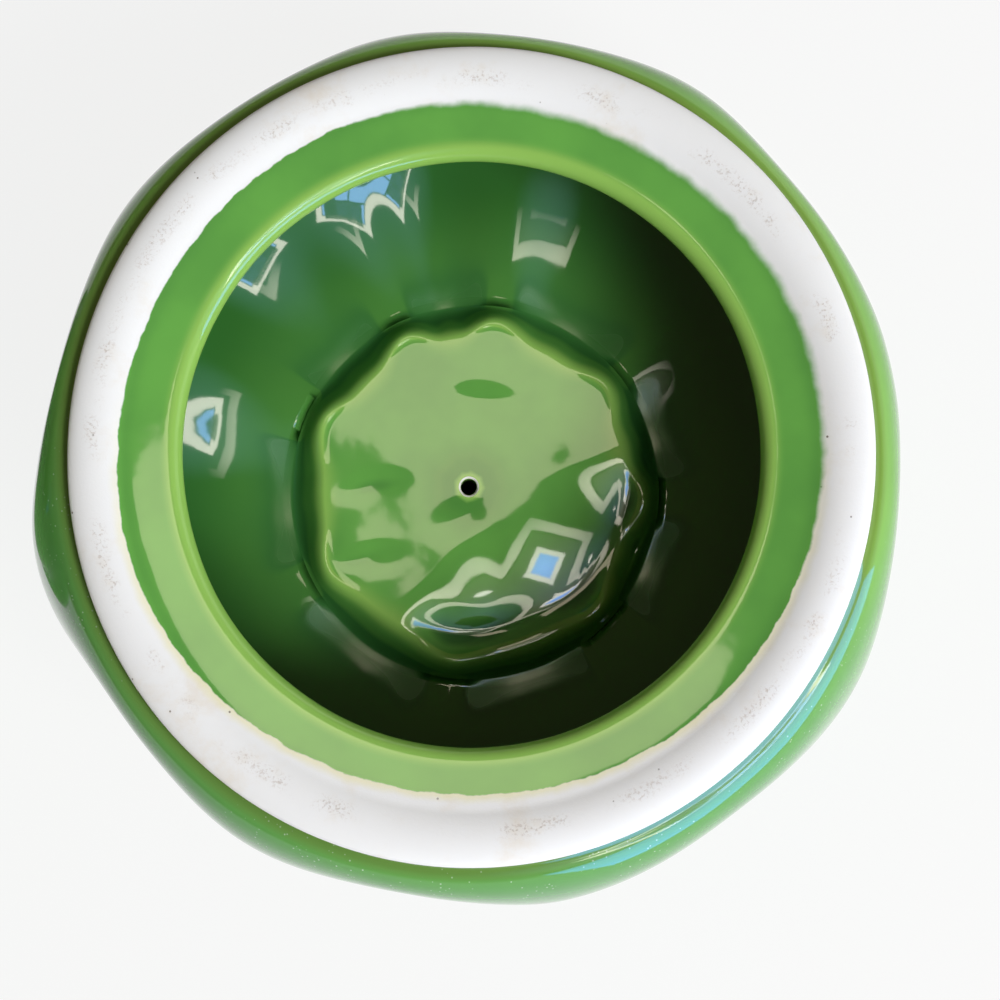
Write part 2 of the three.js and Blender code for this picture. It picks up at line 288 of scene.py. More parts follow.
def mark_gathering(bm):
    """Stores how much the surface bulges, in 1/mm: above 0 on edges, below 0 in hollows."""
    bm.normal_update()
    bm.verts.index_update()
    links = [[edge.other_vert(vert).index for edge in vert.link_edges] for vert in bm.verts]
    bulge = []
    for vert in bm.verts:
        total = 0.0
        for edge in vert.link_edges:
            other = edge.other_vert(vert)
            step = other.co - vert.co
            total += (other.normal - vert.normal).dot(step) / step.length_squared
        bulge.append(total / len(vert.link_edges))
    for _ in range(SMOOTHING_PASSES):
        totals = [value + sum(bulge[k] for k in near) for value, near in zip(bulge, links)]
        bulge = [total / (1 + len(near)) for total, near in zip(totals, links)]
    layer = bm.verts.layers.float.new("bulge")
    for vert, value in zip(bm.verts, bulge):
        vert[layer] = value


def stored(bm, name, place=Matrix.Identity(4), seen=None):
    """Makes the object, in metres at its place. Each point keeps where it was seen, in millimetres."""
    mark_gathering(bm)
    mesh = bpy.data.meshes.new(name)
    marks = bm.verts.layers.float_vector.new("spot")
    for vert in bm.verts:
        vert[marks] = seen(vert.co) if seen else vert.co
    bmesh.ops.transform(bm, matrix=place @ Matrix.Scale(MM, 4), verts=bm.verts)
    bm.to_mesh(mesh)
    bm.free()
    for used in PRESS_VALUES:
        mesh.attributes.remove(mesh.attributes[used])
    mesh.shade_smooth()
    piece = bpy.data.objects.new(name, mesh)
    bpy.context.scene.collection.objects.link(piece)
    print(name, "has", len(mesh.polygons), "faces")
    return piece


# %% [markdown]
# ## The lid
# Its profile runs from the collar out to the girth, over the crest, down into the hollow for the
# stem and through the vent, then back along the inside of the wall and round the shelf.

# %% The lid's sizes
COLLAR_RADIUS = 90.0
COLLAR_HEIGHT = 4.0
BAND_CONTACT_RADIUS = 85.6
BAND_BEVEL = 1.6
BAND_INNER_RADIUS = 78.4
BAND_INNER_RISE = 1.8
LID_OPENING_RADIUS = 65.2
SHELF_RISE = 3.8
SHELF_THICKNESS = 6.4
LID_GIRTH_RADIUS = 99.3
LID_GIRTH_HEIGHT = 28.0
FLARE_TURN = 0.8
CREST_RADIUS = 51.0
CREST_HEIGHT = 66.5
HOLLOW_RADIUS = 35.5
HOLLOW_FLOOR = 60.0
HOLLOW_OFFSET = (-1.2, -3.6)
VENT_RADIUS = 2.05
VENT_OFFSET = (1.7, 0.3)
VENT_RIM = [(0.0, 0.8, 0.0), (0.1, 0.3, 1.0), (0.4, 0.0, 1.0), (0.6, 0.0, 0.0)]  # outwards, up, how bare
LID_GIRTH_GROOVE = 0.5
CREST_GROOVE = 4.5
CAVITY_ARC = math.radians(74)
TROUGH_RADIUS = 47.0
TROUGH_HEIGHT = 60.5
RIDGE_HEIGHT = 2.2
PLATEAU_RADIUS = 37.6
PLATEAU_HEIGHT = HOLLOW_FLOOR - WALL
PLATEAU_CORNER = 2.9
SHELF_TOP = SHELF_RISE + SHELF_THICKNESS
SHELF_SAG = 0.12  # how much of the shelf's fall is kept for its outer end
OVALITY = 0.0125
print("the lid is", 2 * LID_GIRTH_RADIUS, "mm across without its lobes, and", CREST_HEIGHT, "mm high")


def lid_flare(t):
    a = math.pi / 2 * t
    radius = mix(COLLAR_RADIUS, LID_GIRTH_RADIUS, math.sin(a) ** FLARE_TURN)
    return radius, mix(LID_GIRTH_HEIGHT, COLLAR_HEIGHT, math.cos(a))


def lid_dome(t):
    a = math.pi / 2 * t
    radius = mix(CREST_RADIUS, LID_GIRTH_RADIUS, math.cos(a))
    return radius, mix(LID_GIRTH_HEIGHT, CREST_HEIGHT, math.sin(a))


def lid_hollow(t):
    height = mix(HOLLOW_FLOOR, CREST_HEIGHT, (1 + math.cos(math.pi * t)) / 2)
    return mix(CREST_RADIUS, HOLLOW_RADIUS, t), height


def cavity_dome(t):
    """A piece of an ellipse that stops short of level, so that it meets the trough on a slope."""
    a = CAVITY_ARC * t
    share = (math.cos(a) - math.cos(CAVITY_ARC)) / (1 - math.cos(CAVITY_ARC))
    radius = mix(TROUGH_RADIUS, LID_GIRTH_RADIUS - WALL, share)
    return radius, mix(LID_GIRTH_HEIGHT, TROUGH_HEIGHT, math.sin(a) / math.sin(CAVITY_ARC))


def plateau_side(t):
    height = mix(PLATEAU_HEIGHT, TROUGH_HEIGHT, (1 + math.cos(math.pi * t)) / 2)
    return mix(TROUGH_RADIUS, PLATEAU_RADIUS, t), height


# %% [markdown]
# Painted shade: the inside walls get a darker green for the shade in the lid's hollow. The value
# "pooled" is 1 there, less in the trough and round the vent, and 0 on the plateau and outside.

# %% Where painted shade darkens the inside of the lid
TROUGH_SHADE = 0.6
SHADE_FADE_START = 0.6  # share of the way up the dome
VENT_SHADE = 0.4
VENT_SHADE_SPAN = (5, 14)  # from full to none, in mm from the lid's axis


def fading_shade(points):
    """The painted shade of the walls grows lighter on its way to the trough."""
    last = len(points) - 1
    shares = [smooth_share(k / last, SHADE_FADE_START, 1.0) for k in range(len(points))]
    return [dict(p, pooled=mix(1.0, TROUGH_SHADE, share)) for p, share in zip(points, shares)]


def turned_outwards(points):
    """A ridge rises out of the trough, and turns into a corner that reaches outwards."""
    turned = []
    for k, p in enumerate(points):
        t = k / (len(points) - 1)
        a = math.pi / 2 * t
        sharp = mix(RIDGE_SHARPNESS, GROOVE_SHARPNESS, t)
        pooled = TROUGH_SHADE * (1 - t)
        turned.append(dict(p, in_r=math.sin(a), in_z=-math.cos(a), sharp=sharp, pooled=pooled))
    return turned


# %% The lid's profile
def flare_points():
    return wall_points(lid_flare, 14, lambda t: LID_GIRTH_GROOVE * t ** 2, lambda t: t ** 2)


def lid_outside():
    """From the collar over the crest, down into the hollow and on to the vent."""
    dome = wall_points(
        lid_dome,
        34,
        lambda t: mix(LID_GIRTH_GROOVE, CREST_GROOVE, t ** 1.5),
        lambda t: (1 - t) ** 2,
        lambda t: t,
    )
    hollow = wall_points(
        lid_hollow, 26, lambda t: CREST_GROOVE * (1 - t) ** 1.5, lambda t: 0.0, lambda t: 1.0
    )
    floor_line = straight((HOLLOW_RADIUS, HOLLOW_FLOOR), (VENT_RADIUS, HOLLOW_FLOOR), 12)
    return [*map(outside, flare_points() + dome[1:] + hollow[1:]), *floor_line]


def lid_plateau():
    """The vent's rim, and from there to the plateau's edge."""
    rim = [point(VENT_RADIUS + out, PLATEAU_HEIGHT + up, bare=bare) for out, up, bare in VENT_RIM]
    radii = [mix(rim[-1]["r"], PLATEAU_RADIUS, k / 26) for k in range(1, 26)]
    face = [
        point(
            r,
            PLATEAU_HEIGHT,
            in_r=1.0,
            depth=PLATEAU_CORNER * r / PLATEAU_RADIUS,
            drift=1.0,
            sharp=GROOVE_SHARPNESS,
            pooled=VENT_SHADE * (1 - smooth_share(r, *VENT_SHADE_SPAN)),
        )
        for r in radii
    ]
    return rim + face


def lid_cavity():
    """From the shelf up the inside of the wall, through the trough and up to the plateau's edge."""
    dome = wall_points(
        cavity_dome,
        34,
        lambda t: mix(LID_GIRTH_GROOVE, RIDGE_HEIGHT, smooth_share(t, 0, 0.65)),
        lambda t: (1 - t) ** 2,
        lambda t: t,
    )
    side = wall_points(
        plateau_side, 26, lambda t: mix(RIDGE_HEIGHT, PLATEAU_CORNER, t), lambda t: 0.0, lambda t: 1.0
    )
    wall = [p for p in map(inside, flare_points()) if p["z"] > SHELF_TOP + 1]
    return [*wall, *fading_shade([ridged(p) for p in dome[1:]]), *turned_outwards(side)[1:]]


def lid_shelf():
    """The rounded lip, and the shelf's underside from there to the band."""
    lip_round = SHELF_THICKNESS / 2
    lip_radius = LID_OPENING_RADIUS + lip_round
    lip = half_round(lip_radius, SHELF_RISE + lip_round, lip_round, math.pi / 2, 14)
    shelf = []
    for t in [k / 14 for k in range(1, 15)]:
        fall = mix(t, t ** 4, SHELF_SAG)
        shelf.append(point(mix(lip_radius, BAND_INNER_RADIUS, t), mix(SHELF_RISE, BAND_INNER_RISE, fall)))
    return lip + shelf


def lid_band():
    """The bare band down to where it touches the jar's ledge, and the bevel up to the collar."""
    width = BAND_CONTACT_RADIUS - BAND_INNER_RADIUS
    radii = [mix(BAND_INNER_RADIUS, BAND_CONTACT_RADIUS, k / 10) for k in range(1, 11)]
    band = [point(r, BAND_INNER_RISE * ((BAND_CONTACT_RADIUS - r) / width) ** 2) for r in radii]
    bevel_width = COLLAR_RADIUS - BAND_CONTACT_RADIUS
    bevel = [
        point(BAND_CONTACT_RADIUS + bevel_width * math.sin(a), BAND_BEVEL * (1 - math.cos(a)))
        for a in [math.pi / 2 * k / 8 for k in range(1, 9)]
    ]
    return band + bevel


def lid_profile():
    top = point(COLLAR_RADIUS - WALL, SHELF_TOP)
    return [*lid_outside(), *lid_plateau(), *reversed(lid_cavity()), top, *lid_shelf(), *lid_band()]


# %% [markdown]
# The hollow and all that lies near it is a little off the lid's axis, and the whole lid is slightly
# oval, as castings get when they dry. Both are done to the points after the lobes are pressed.

# %% Spin the lid, press its lobes and make it untrue
LID_SPIN_STEPS = 400
LID_WAVE_LENGTH = 24.0
LID_WAVE_HEIGHT = 0.3
BAND_KEPT_FLAT = (1.5, 9.0)  # heights between which the waves set in


def lid_offset(radius, height):
    """The hollow isn't quite on the lid's axis, and the vent isn't quite in the middle of the hollow."""
    if height < SHELF_TOP + 0.5:
        return 0, 0
    share = 1 - smooth_share(radius, CREST_RADIUS * 0.75, LID_GIRTH_RADIUS * 0.85)
    near_vent = max(0.0, 1 - radius / HOLLOW_RADIUS)
    return [hollow * share + vent * near_vent for hollow, vent in zip(HOLLOW_OFFSET, VENT_OFFSET)]


def in_picture(co):
    """A spot on the lid as the picture shows it: right, up and away, in millimetres."""
    return Vector((co.dot(across), co.dot(upwards), co.z))


def near_band(vert):
    return 1 - smooth_share(vert.co.z, *BAND_KEPT_FLAT)


lid_bm = spun(lid_profile(), LID_SPIN_STEPS, closed=True)
press_lobes(lid_bm, lid_offset)
bmesh.ops.scale(lid_bm, vec=(1 - OVALITY, 1 + OVALITY, 1), verts=lid_bm.verts)
unevenness(lid_bm, LID_WAVE_LENGTH, LID_WAVE_HEIGHT, near_band)
print("the lid's wall has", len(lid_bm.verts), "points")

# %% [markdown]
# The plateau's face isn't flat. It sank a little on one side when the casting was still soft, and it
# has a few shallow dents and bumps. None is deeper than a millimetre, yet each bends the mirrored room.

# %% The plateau's sag and dents, placed as the picture shows them
SAG_CENTRE = (8.0, -5.0)
SAG_START = 6.0
SAG_CURVE = 0.0055  # mm of depth for each square millimetre beyond the start
SAG_WAY = math.radians(-55)
SAG_SPREAD = (0.2, 0.8)  # cosines of the angles off its way between which it sets in
PLATEAU_DENTS = [  # right, up, half length, half width, turned by degrees, depth
    (-26, -21, 6, 2.5, 10, 0.3),
    (-24, -3, 7, 3, 15, 0.3),
    (3, 18, 9, 4, -10, 0.4),
    (-2, -11, 6, 4, 20, 0.3),
    (24, 0, 7, 8, 30, 0.3),
    (0, -34, 8, 8, 15, -0.9),
    (18, -36, 9, 3, 20, -0.4),
]


def plateau_depth(right, up):
    x, y = right - SAG_CENTRE[0], up - SAG_CENTRE[1]
    away = math.hypot(x, y)
    towards = x * math.cos(SAG_WAY) + y * math.sin(SAG_WAY)
    share = smooth_share(towards / max(away, 0.001), *SAG_SPREAD)
    depth = share * SAG_CURVE * max(away - SAG_START, 0) ** 2
    for dent_right, dent_up, length, width, turn, dent in PLATEAU_DENTS:
        along, sidelong = math.cos(math.radians(turn)), math.sin(math.radians(turn))
        x = (right - dent_right) * along + (up - dent_up) * sidelong
        y = (up - dent_up) * along - (right - dent_right) * sidelong
        depth += dent * math.exp(-((x / length) ** 2) - (y / width) ** 2)
    return depth


deepest = 0.0
for vert in lid_bm.verts:
    spot = in_picture(vert.co)
    radius = math.hypot(spot.x, spot.y)
    if radius < TROUGH_RADIUS and PLATEAU_HEIGHT - 2 < spot.z < HOLLOW_FLOOR - 1.5:
        share = 1 - smooth_share(radius, PLATEAU_RADIUS, TROUGH_RADIUS)
        depth = plateau_depth(spot.x, spot.y) * share
        vert.co.z += depth
        deepest = max(deepest, depth)
print("the sag is up to", round(deepest, 1), "mm deep")
lid = stored(lid_bm, "lid_shell_cast", lying, in_picture)
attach(lid, "lid")
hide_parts("lid_shell")

# %% [markdown]
# ## The jar
# Its belly is one smooth curve from the foot to the girth. Above the girth the shoulder turns in to a
# thin rim, and inside the rim lies the ledge that carries the lid.

# %% The jar's sizes and curves
FOOT_RADIUS = 52.0
FOOT_ROUND = 1.2
UNDERSIDE_RISE = 5.0
BELLY_TURN_RADIUS = 84.0
BELLY_TURN_HEIGHT = 56.0
JAR_GIRTH_RADIUS = 99.3
JAR_GIRTH_HEIGHT = 138.0
JAR_MOUTH_RADIUS = 76.0
LEDGE_THICKNESS = 7.0
LEDGE_FILLET = 0.9
COLLAR_CLEARANCE = 2.0
RIM_WIDTH = 3.6
RIM_HEIGHT = 3.0
JAR_GIRTH_GROOVE = 0.5
BELLY_GROOVE = 11.0
JAR_SPIN_STEPS = 400
JAR_WAVE_LENGTH = 22.0
JAR_WAVE_HEIGHT = 0.7
rim_inner = COLLAR_RADIUS + COLLAR_CLEARANCE
rim_top = LEDGE_HEIGHT + RIM_HEIGHT
print("the jar is", rim_top, "mm tall, with a mouth", 2 * JAR_MOUTH_RADIUS, "mm across")


def jar_belly(t):
    pulls = [
        (FOOT_RADIUS, 0.0),
        (BELLY_TURN_RADIUS, UNDERSIDE_RISE),
        (JAR_GIRTH_RADIUS, BELLY_TURN_HEIGHT),
        (JAR_GIRTH_RADIUS, JAR_GIRTH_HEIGHT),
    ]
    shares = [(1 - t) ** 3, 3 * t * (1 - t) ** 2, 3 * t * t * (1 - t), t ** 3]
    return tuple(sum(share * pull[k] for share, pull in zip(shares, pulls)) for k in (0, 1))


def jar_shoulder(t):
    a = math.pi / 2 * t
    radius = mix(rim_inner + RIM_WIDTH, JAR_GIRTH_RADIUS, math.cos(a) ** 1.2)
    return radius, mix(JAR_GIRTH_HEIGHT, rim_top - RIM_WIDTH / 2, math.sin(a))


# %% The jar's profile, spun and pressed
def jar_profile():
    def belly_groove(t):
        return mix(JAR_GIRTH_GROOVE, BELLY_GROOVE, (1 - t) ** 0.8) * smooth_share(t, 0, 0.25)

    belly = wall_points(jar_belly, 60, belly_groove, lambda t: t ** 2)
    shoulder = wall_points(
        jar_shoulder, 16, lambda t: JAR_GIRTH_GROOVE * (1 - t) ** 1.5, lambda t: (1 - t) ** 2
    )
    outer = belly + shoulder[1:]
    ledge_under = LEDGE_HEIGHT - LEDGE_THICKNESS
    cavity = [p for p in map(inside, outer) if p["z"] < ledge_under - 1]
    lip_round = LEDGE_THICKNESS / 2
    foot = [point(0, 0, bare=1.0), *straight((0, 0), (FOOT_RADIUS - FOOT_ROUND, 0), 8, bare=1.0)]
    rim = half_round(rim_inner + RIM_WIDTH / 2, rim_top - RIM_WIDTH / 2, RIM_WIDTH / 2, 0, 8)[1:]
    ledge_start = (JAR_MOUTH_RADIUS + lip_round, LEDGE_HEIGHT)
    ledge = [point(rim_inner, LEDGE_HEIGHT + LEDGE_FILLET), point(rim_inner - 0.3, LEDGE_HEIGHT + 0.2)]
    ledge += [point(rim_inner - LEDGE_FILLET, LEDGE_HEIGHT, bare=1.0)]
    ledge += straight((rim_inner - LEDGE_FILLET, LEDGE_HEIGHT), ledge_start, 8, bare=1.0)
    lip = half_round(ledge_start[0], LEDGE_HEIGHT - lip_round, lip_round, math.pi / 2, 14)[1:]
    bottom = straight((cavity[0]["r"], WALL), (0, WALL), 10)
    return [*foot, *map(outside, outer), *rim, *ledge, *lip, *reversed(cavity), *bottom]


def near_foot_or_ledge(vert):
    near_foot = 1 - smooth_share(vert.co.z, 0, 6)
    near_ledge = smooth_share(vert.co.z, LEDGE_HEIGHT - 8, LEDGE_HEIGHT - 3)
    return max(near_foot, near_ledge)


jar_bm = spun(jar_profile(), JAR_SPIN_STEPS, closed=False)
press_lobes(jar_bm)
unevenness(jar_bm, JAR_WAVE_LENGTH, JAR_WAVE_HEIGHT, near_foot_or_ledge)
jar = stored(jar_bm, "jar_body_cast")
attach(jar, "jar")
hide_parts("jar_body")

# %% [markdown]
# ## The stem
# A pepper's stem is a handle here: it flares into sepals at its foot, bends over, and ends in a cut
# face. It is spun straight, ribbed, and then bent along a curved line.

# %% The stem's sizes
STEM_FOOT_RADIUS = 17.0
STEM_NECK_RADIUS = 9.5
STEM_END_RADIUS = 11.0
STEM_RISE = 28.0
STEM_BEND = 10.0
STEM_CAVITY_RADIUS = 5.5
STEM_CAVITY_DEPTH = 20.0
SEPALS = 6
SEPAL_REACH = 2.6
STEM_RIB = 0.55
STEM_SHRINKAGE = 0.3
STEM_SPIN_STEPS = 180
STEM_WAVE_LENGTH = 7.0
STEM_WAVE_HEIGHT = 0.35
GLUE_GAP = 0.05
SOLE_SHARES = (0.015, 0.05)  # shares of the way along the stem, for the edge of its foot,
NECK_SHARE = 0.46  # for its neck,
SHAFT_END_SHARE = 0.9  # for the end of its straight part,
END_ROUND_SHARE = 0.93  # and for where it rounds off to the cut face
CUT_FACE_SHARE = 0.035  # how far the cut face dips in
SKIRT_CURVE = 2.1


def stem_line(s):
    """The point at a share of the way along the stem, and the direction there."""
    start = Vector((0, 0, 0))
    pull = Vector((0, 0, 0.6 * STEM_RISE))
    end = Vector((STEM_BEND, 0, STEM_RISE))
    place = start * (1 - s) ** 2 + pull * 2 * s * (1 - s) + end * s * s
    along = (pull - start) * (1 - s) + (end - pull) * s
    return place, along.normalized()


def stem_profile():
    cavity_top = STEM_CAVITY_DEPTH / STEM_RISE
    round_off = (STEM_CAVITY_DEPTH - STEM_CAVITY_RADIUS * 0.6) / STEM_RISE
    inner = [(0, cavity_top), (STEM_CAVITY_RADIUS * 0.8, cavity_top), (STEM_CAVITY_RADIUS, round_off)]
    inner += [(STEM_CAVITY_RADIUS, mix(round_off, 0, k / 6)) for k in range(1, 7)]
    sole = [(mix(STEM_CAVITY_RADIUS, STEM_FOOT_RADIUS, k / 6), 0) for k in range(1, 6)]
    outer = [(STEM_FOOT_RADIUS - 0.4, 0), *[(STEM_FOOT_RADIUS, share) for share in SOLE_SHARES]]
    for t in [k / 22 for k in range(1, 23)]:
        radius = mix(STEM_NECK_RADIUS, STEM_FOOT_RADIUS, (1 - t) ** SKIRT_CURVE)
        outer.append((radius, mix(SOLE_SHARES[-1], NECK_SHARE, t)))
    for t in [k / 14 for k in range(1, 15)]:
        outer.append((ease(STEM_NECK_RADIUS, STEM_END_RADIUS, t), mix(NECK_SHARE, SHAFT_END_SHARE, t)))
    end_round = STEM_END_RADIUS * 0.16
    for a in [math.pi / 2 * k / 8 for k in range(1, 9)]:
        radius = STEM_END_RADIUS - end_round * (1 - math.cos(a))
        outer.append((radius, END_ROUND_SHARE + (1 - END_ROUND_SHARE) * math.sin(a)))
    for t in [k / 8 for k in range(1, 9)]:
        dip = CUT_FACE_SHARE * smooth_share(t, 0, 0.7)
        outer.append((mix(STEM_END_RADIUS - end_round, 0, t), 1 - dip))
    return [point(r, s * STEM_RISE) for r, s in inner + sole + outer]


# %% Spin the stem, rib it and bend it
stem_bm = spun(stem_profile(), STEM_SPIN_STEPS, closed=False)
sideways = Vector((0, 1, 0))
for vert in stem_bm.verts:
    radius = math.hypot(vert.co.x, vert.co.y)
    angle = math.atan2(vert.co.y, vert.co.x)
    s = vert.co.z / STEM_RISE
    flare = max(0.0, (radius - STEM_END_RADIUS) / (STEM_FOOT_RADIUS - STEM_END_RADIUS))
    out_of_cavity = smooth_share(radius, STEM_CAVITY_RADIUS + 1, STEM_NECK_RADIUS - 1)
    ribs = STEM_RIB * out_of_cavity * (1 - min(1, flare))
    wave = math.cos(SEPALS * angle)
    reach = max(0, radius - STEM_SHRINKAGE + SEPAL_REACH * flare * wave + ribs * (wave - 1))
    place, along = stem_line(s)
    sidelong = sideways.cross(along)
    vert.co = place + sidelong * (reach * math.cos(angle)) + sideways * (reach * math.sin(angle))
unevenness(stem_bm, STEM_WAVE_LENGTH, STEM_WAVE_HEIGHT, lambda vert: 1 - smooth_share(vert.co.z, 0.2, 3))
bmesh.ops.translate(stem_bm, vec=(*HOLLOW_OFFSET, HOLLOW_FLOOR + GLUE_GAP), verts=stem_bm.verts)
stem = stored(stem_bm, "lid_stem_cast", lying)
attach(stem, "lid")
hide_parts("lid_stem")

# %% [markdown]
# ## Finishes
# One small function adds a node and links it. Colours are written as on a colour chart and turned to
# the linear values that light is reckoned in.

# %% Colours and nodes
def colour(code):
    values = [int(code[k:k + 2], 16) / 255 for k in (1, 3, 5)]
    return (*[v / 12.92 if v <= 0.04045 else ((v + 0.055) / 1.055) ** 2.4 for v in values], 1)


def add(tree, kind, inputs=(), **settings):
    """Adds a node. An input that is another node takes that node's first output."""
    node = tree.nodes.new(kind)
    for name, value in settings.items():
        setattr(node, name, value)
    for key, value in dict(inputs).items():
        if isinstance(value, bpy.types.Node):
            value = value.outputs[0]
        if isinstance(value, bpy.types.NodeSocket):
            tree.links.new(value, node.inputs[key])
        else:
            node.inputs[key].default_value = value
    return node


def calc(tree, operation, a, b=0.0, c=0.0):
    return add(tree, "ShaderNodeMath", {0: a, 1: b, 2: c}, operation=operation)


def share_between(tree, value, low, high):
    """0 below low, 1 above high and smooth between them."""
    inputs = {"Value": value, "From Min": low, "From Max": high}
    return add(tree, "ShaderNodeMapRange", inputs, interpolation_type="SMOOTHSTEP")


def blend(tree, factor, a, b):
    """Mixes two colours. The sockets of a Mix node go by number: 0 factor, 6 and 7 the colours."""
    return add(tree, "ShaderNodeMix", {0: factor, 6: a, 7: b}, data_type="RGBA").outputs[2]


def times(tree, a, b):
    return calc(tree, "MULTIPLY", a, b)


def speckle(tree, place, size, detail=2.0, roughness=0.5):
    """Cloudy noise whose clouds are size millimetres apart."""
    inputs = {"Vector": place, "Scale": 1 / size, "Detail": detail, "Roughness": roughness}
    return add(tree, "ShaderNodeTexNoise", inputs)


def cell_dots(tree, place, size, inner, outer):
    """Round dots, one in each cell of size millimetres: 1 up to the inner radius, 0 from the outer."""
    cells = add(tree, "ShaderNodeTexVoronoi", {"Vector": place, "Scale": 1 / size})
    return share_between(tree, cells.outputs["Distance"], outer, inner)


def stored_value(tree, name, output="Fac"):
    """Reads what the mesh keeps on its points under this name."""
    return add(tree, "ShaderNodeAttribute", attribute_name=name).outputs[output]


def new_material(name):
    material = bpy.data.materials.new(name)
    material.use_nodes = True
    material.node_tree.nodes.clear()
    return material, material.node_tree


# %% [markdown]
# Pepper-green glaze is a layer of coloured glass, a third of a millimetre thick, over white clay. Light
# goes through it twice, so a thin layer looks yellow-green and a thick one bottle green. Its surface
# is smooth glass with the faintest ripple.

# %% Green glaze over earthenware
GLAZE_THIN = "#8dbb58"
GLAZE_USUAL = "#67a84a"
# Painted shade: the darker green of the inner walls stands in for the shade inside the lid and the jar.
GLAZE_INNER_SHADE = "#2b6325"
GLAZE_DEEP = "#2a6431"
GLAZE_IOR = 1.5
GLAZE_ROUGHNESS = 0.045
GLAZE_CLOUD_SIZE = 24.0
GLAZE_CLOUDS = (0.3, 0.75)
CLOUD_DEPTH = 0.25
RIPPLE_LENGTH = 5.0
RIPPLE_HEIGHT = 0.012
EDGE_BULGES = (0.008, 0.09)  # in 1/mm, from where glaze starts to run off to where it's thin
HOLLOW_BULGES = (-0.004, -0.055)
PIT_BULGES = (-0.035, -0.09)  # hollows on the inner walls where the glaze dries pitted, which dulls it
PIT_DULLNESS = 0.3


def glaze(tree, spot, thin=GLAZE_THIN, usual=GLAZE_USUAL, deep=GLAZE_DEEP, stains=()):
    """The stains are pairs of a share and a colour, laid over the glaze one after the other. On the lid
    they are painted shade, a painted shadow and pale specks.
    """
    bulge = stored_value(tree, "bulge")
    pooled = stored_value(tree, "pooled")
    edge = times(tree, share_between(tree, bulge, *EDGE_BULGES), share_between(tree, pooled, 0.4, 0.0))
    not_inner_shade = calc(tree, "MULTIPLY_ADD", pooled, -0.7, 1.0)
    hollow = times(tree, share_between(tree, bulge, *HOLLOW_BULGES), not_inner_shade)
    # Painted shade: the inner walls are blended towards a darker green.
    body = blend(tree, pooled, colour(usual), colour(GLAZE_INNER_SHADE))
    clouds = share_between(tree, speckle(tree, spot, GLAZE_CLOUD_SIZE, 3.0), *GLAZE_CLOUDS)
    cloudy = blend(tree, times(tree, clouds, CLOUD_DEPTH), body, colour(deep))
    gathered = blend(tree, hollow, cloudy, colour(deep))
    colours = blend(tree, edge, gathered, colour(thin))
    for share, tint in stains:
        colours = blend(tree, share, colours, colour(tint))
    pitted = times(tree, share_between(tree, bulge, *PIT_BULGES), share_between(tree, pooled, 0.4, 0.7))
    dulled = calc(tree, "MULTIPLY_ADD", pitted, PIT_DULLNESS, GLAZE_ROUGHNESS)
    ripple = speckle(tree, spot, RIPPLE_LENGTH, 1.0)
    bump = add(tree, "ShaderNodeBump", {"Height": ripple, "Strength": 1.0, "Distance": RIPPLE_HEIGHT * MM})
    return add(
        tree,
        "ShaderNodeBsdfPrincipled",
        {"Base Color": colours, "Roughness": dulled, "IOR": GLAZE_IOR, "Normal": bump},
    )


# %% [markdown]
# Bare fired earthenware is matt and almost white. It drinks up dirt, so it is stained tan in places,
# pricked with pinholes that were bubbles in the slip, and scuffed where the lid rests on the jar.

# %% Bare fired clay
CLAY_WHITE = "#ecebe9"
CLAY_STAIN = "#dccbb0"
CLAY_DIRT = "#6d5a48"
CLAY_SCUFF = "#b9a798"
CLAY_HALO = "#e6dfae"
CLAY_ROUGHNESS = 0.75
STAIN_SIZE = 22.0
STAIN_CLOUDS = (0.52, 0.75)  # values of the cloudy noise between which it sets in, as in all of these
PINHOLE_SPACING = 4.2
PINHOLE_RADII = (0.045, 0.075)  # in shares of the spacing, here and for the glaze's pricks
PINHOLE_PATCHES = 9.0
PINHOLE_CLOUDS = (0.56, 0.6)
GRAIN = 0.7
GRAIN_HEIGHT = 0.06
SCUFF_CLOUDS = (0.5, 0.66)


def bare_clay(tree, spot, worn=0.0, halo=0.0):
    stains = share_between(tree, speckle(tree, spot, STAIN_SIZE, 6.0, 0.65), *STAIN_CLOUDS)
    stained = blend(tree, times(tree, stains, 0.45), colour(CLAY_WHITE), colour(CLAY_STAIN))
    pinholes = cell_dots(tree, spot, PINHOLE_SPACING, *PINHOLE_RADII)
    patches = share_between(tree, speckle(tree, spot, PINHOLE_PATCHES), *PINHOLE_CLOUDS)
    dirty = times(tree, pinholes, patches)
    grain = speckle(tree, spot, GRAIN, 3.0, 0.7)
    scuffs = times(tree, share_between(tree, grain, *SCUFF_CLOUDS), worn)
    scuffed = blend(tree, times(tree, scuffs, 0.5), stained, colour(CLAY_SCUFF))
    bled = blend(tree, halo, scuffed, colour(CLAY_HALO))
    colours = blend(tree, times(tree, dirty, 0.85), bled, colour(CLAY_DIRT))
    height = calc(tree, "SUBTRACT", times(tree, grain, 0.5), calc(tree, "ADD", dirty, scuffs))
    bump = add(tree, "ShaderNodeBump", {"Height": height, "Strength": 1.0, "Distance": GRAIN_HEIGHT * MM})
    inputs = {"Base Color": colours, "Roughness": CLAY_ROUGHNESS, "Normal": bump}
    return add(tree, "ShaderNodeBsdfPrincipled", inputs)


# %% [markdown]
# The glaze on the lid ends in a wavy line where the potter's sponge stopped. The line is crisp, but at
# the upper right of the picture the glaze thins out over two millimetres or so. Along the lower part it
# has bled a little way into the clay and left a cream halo.

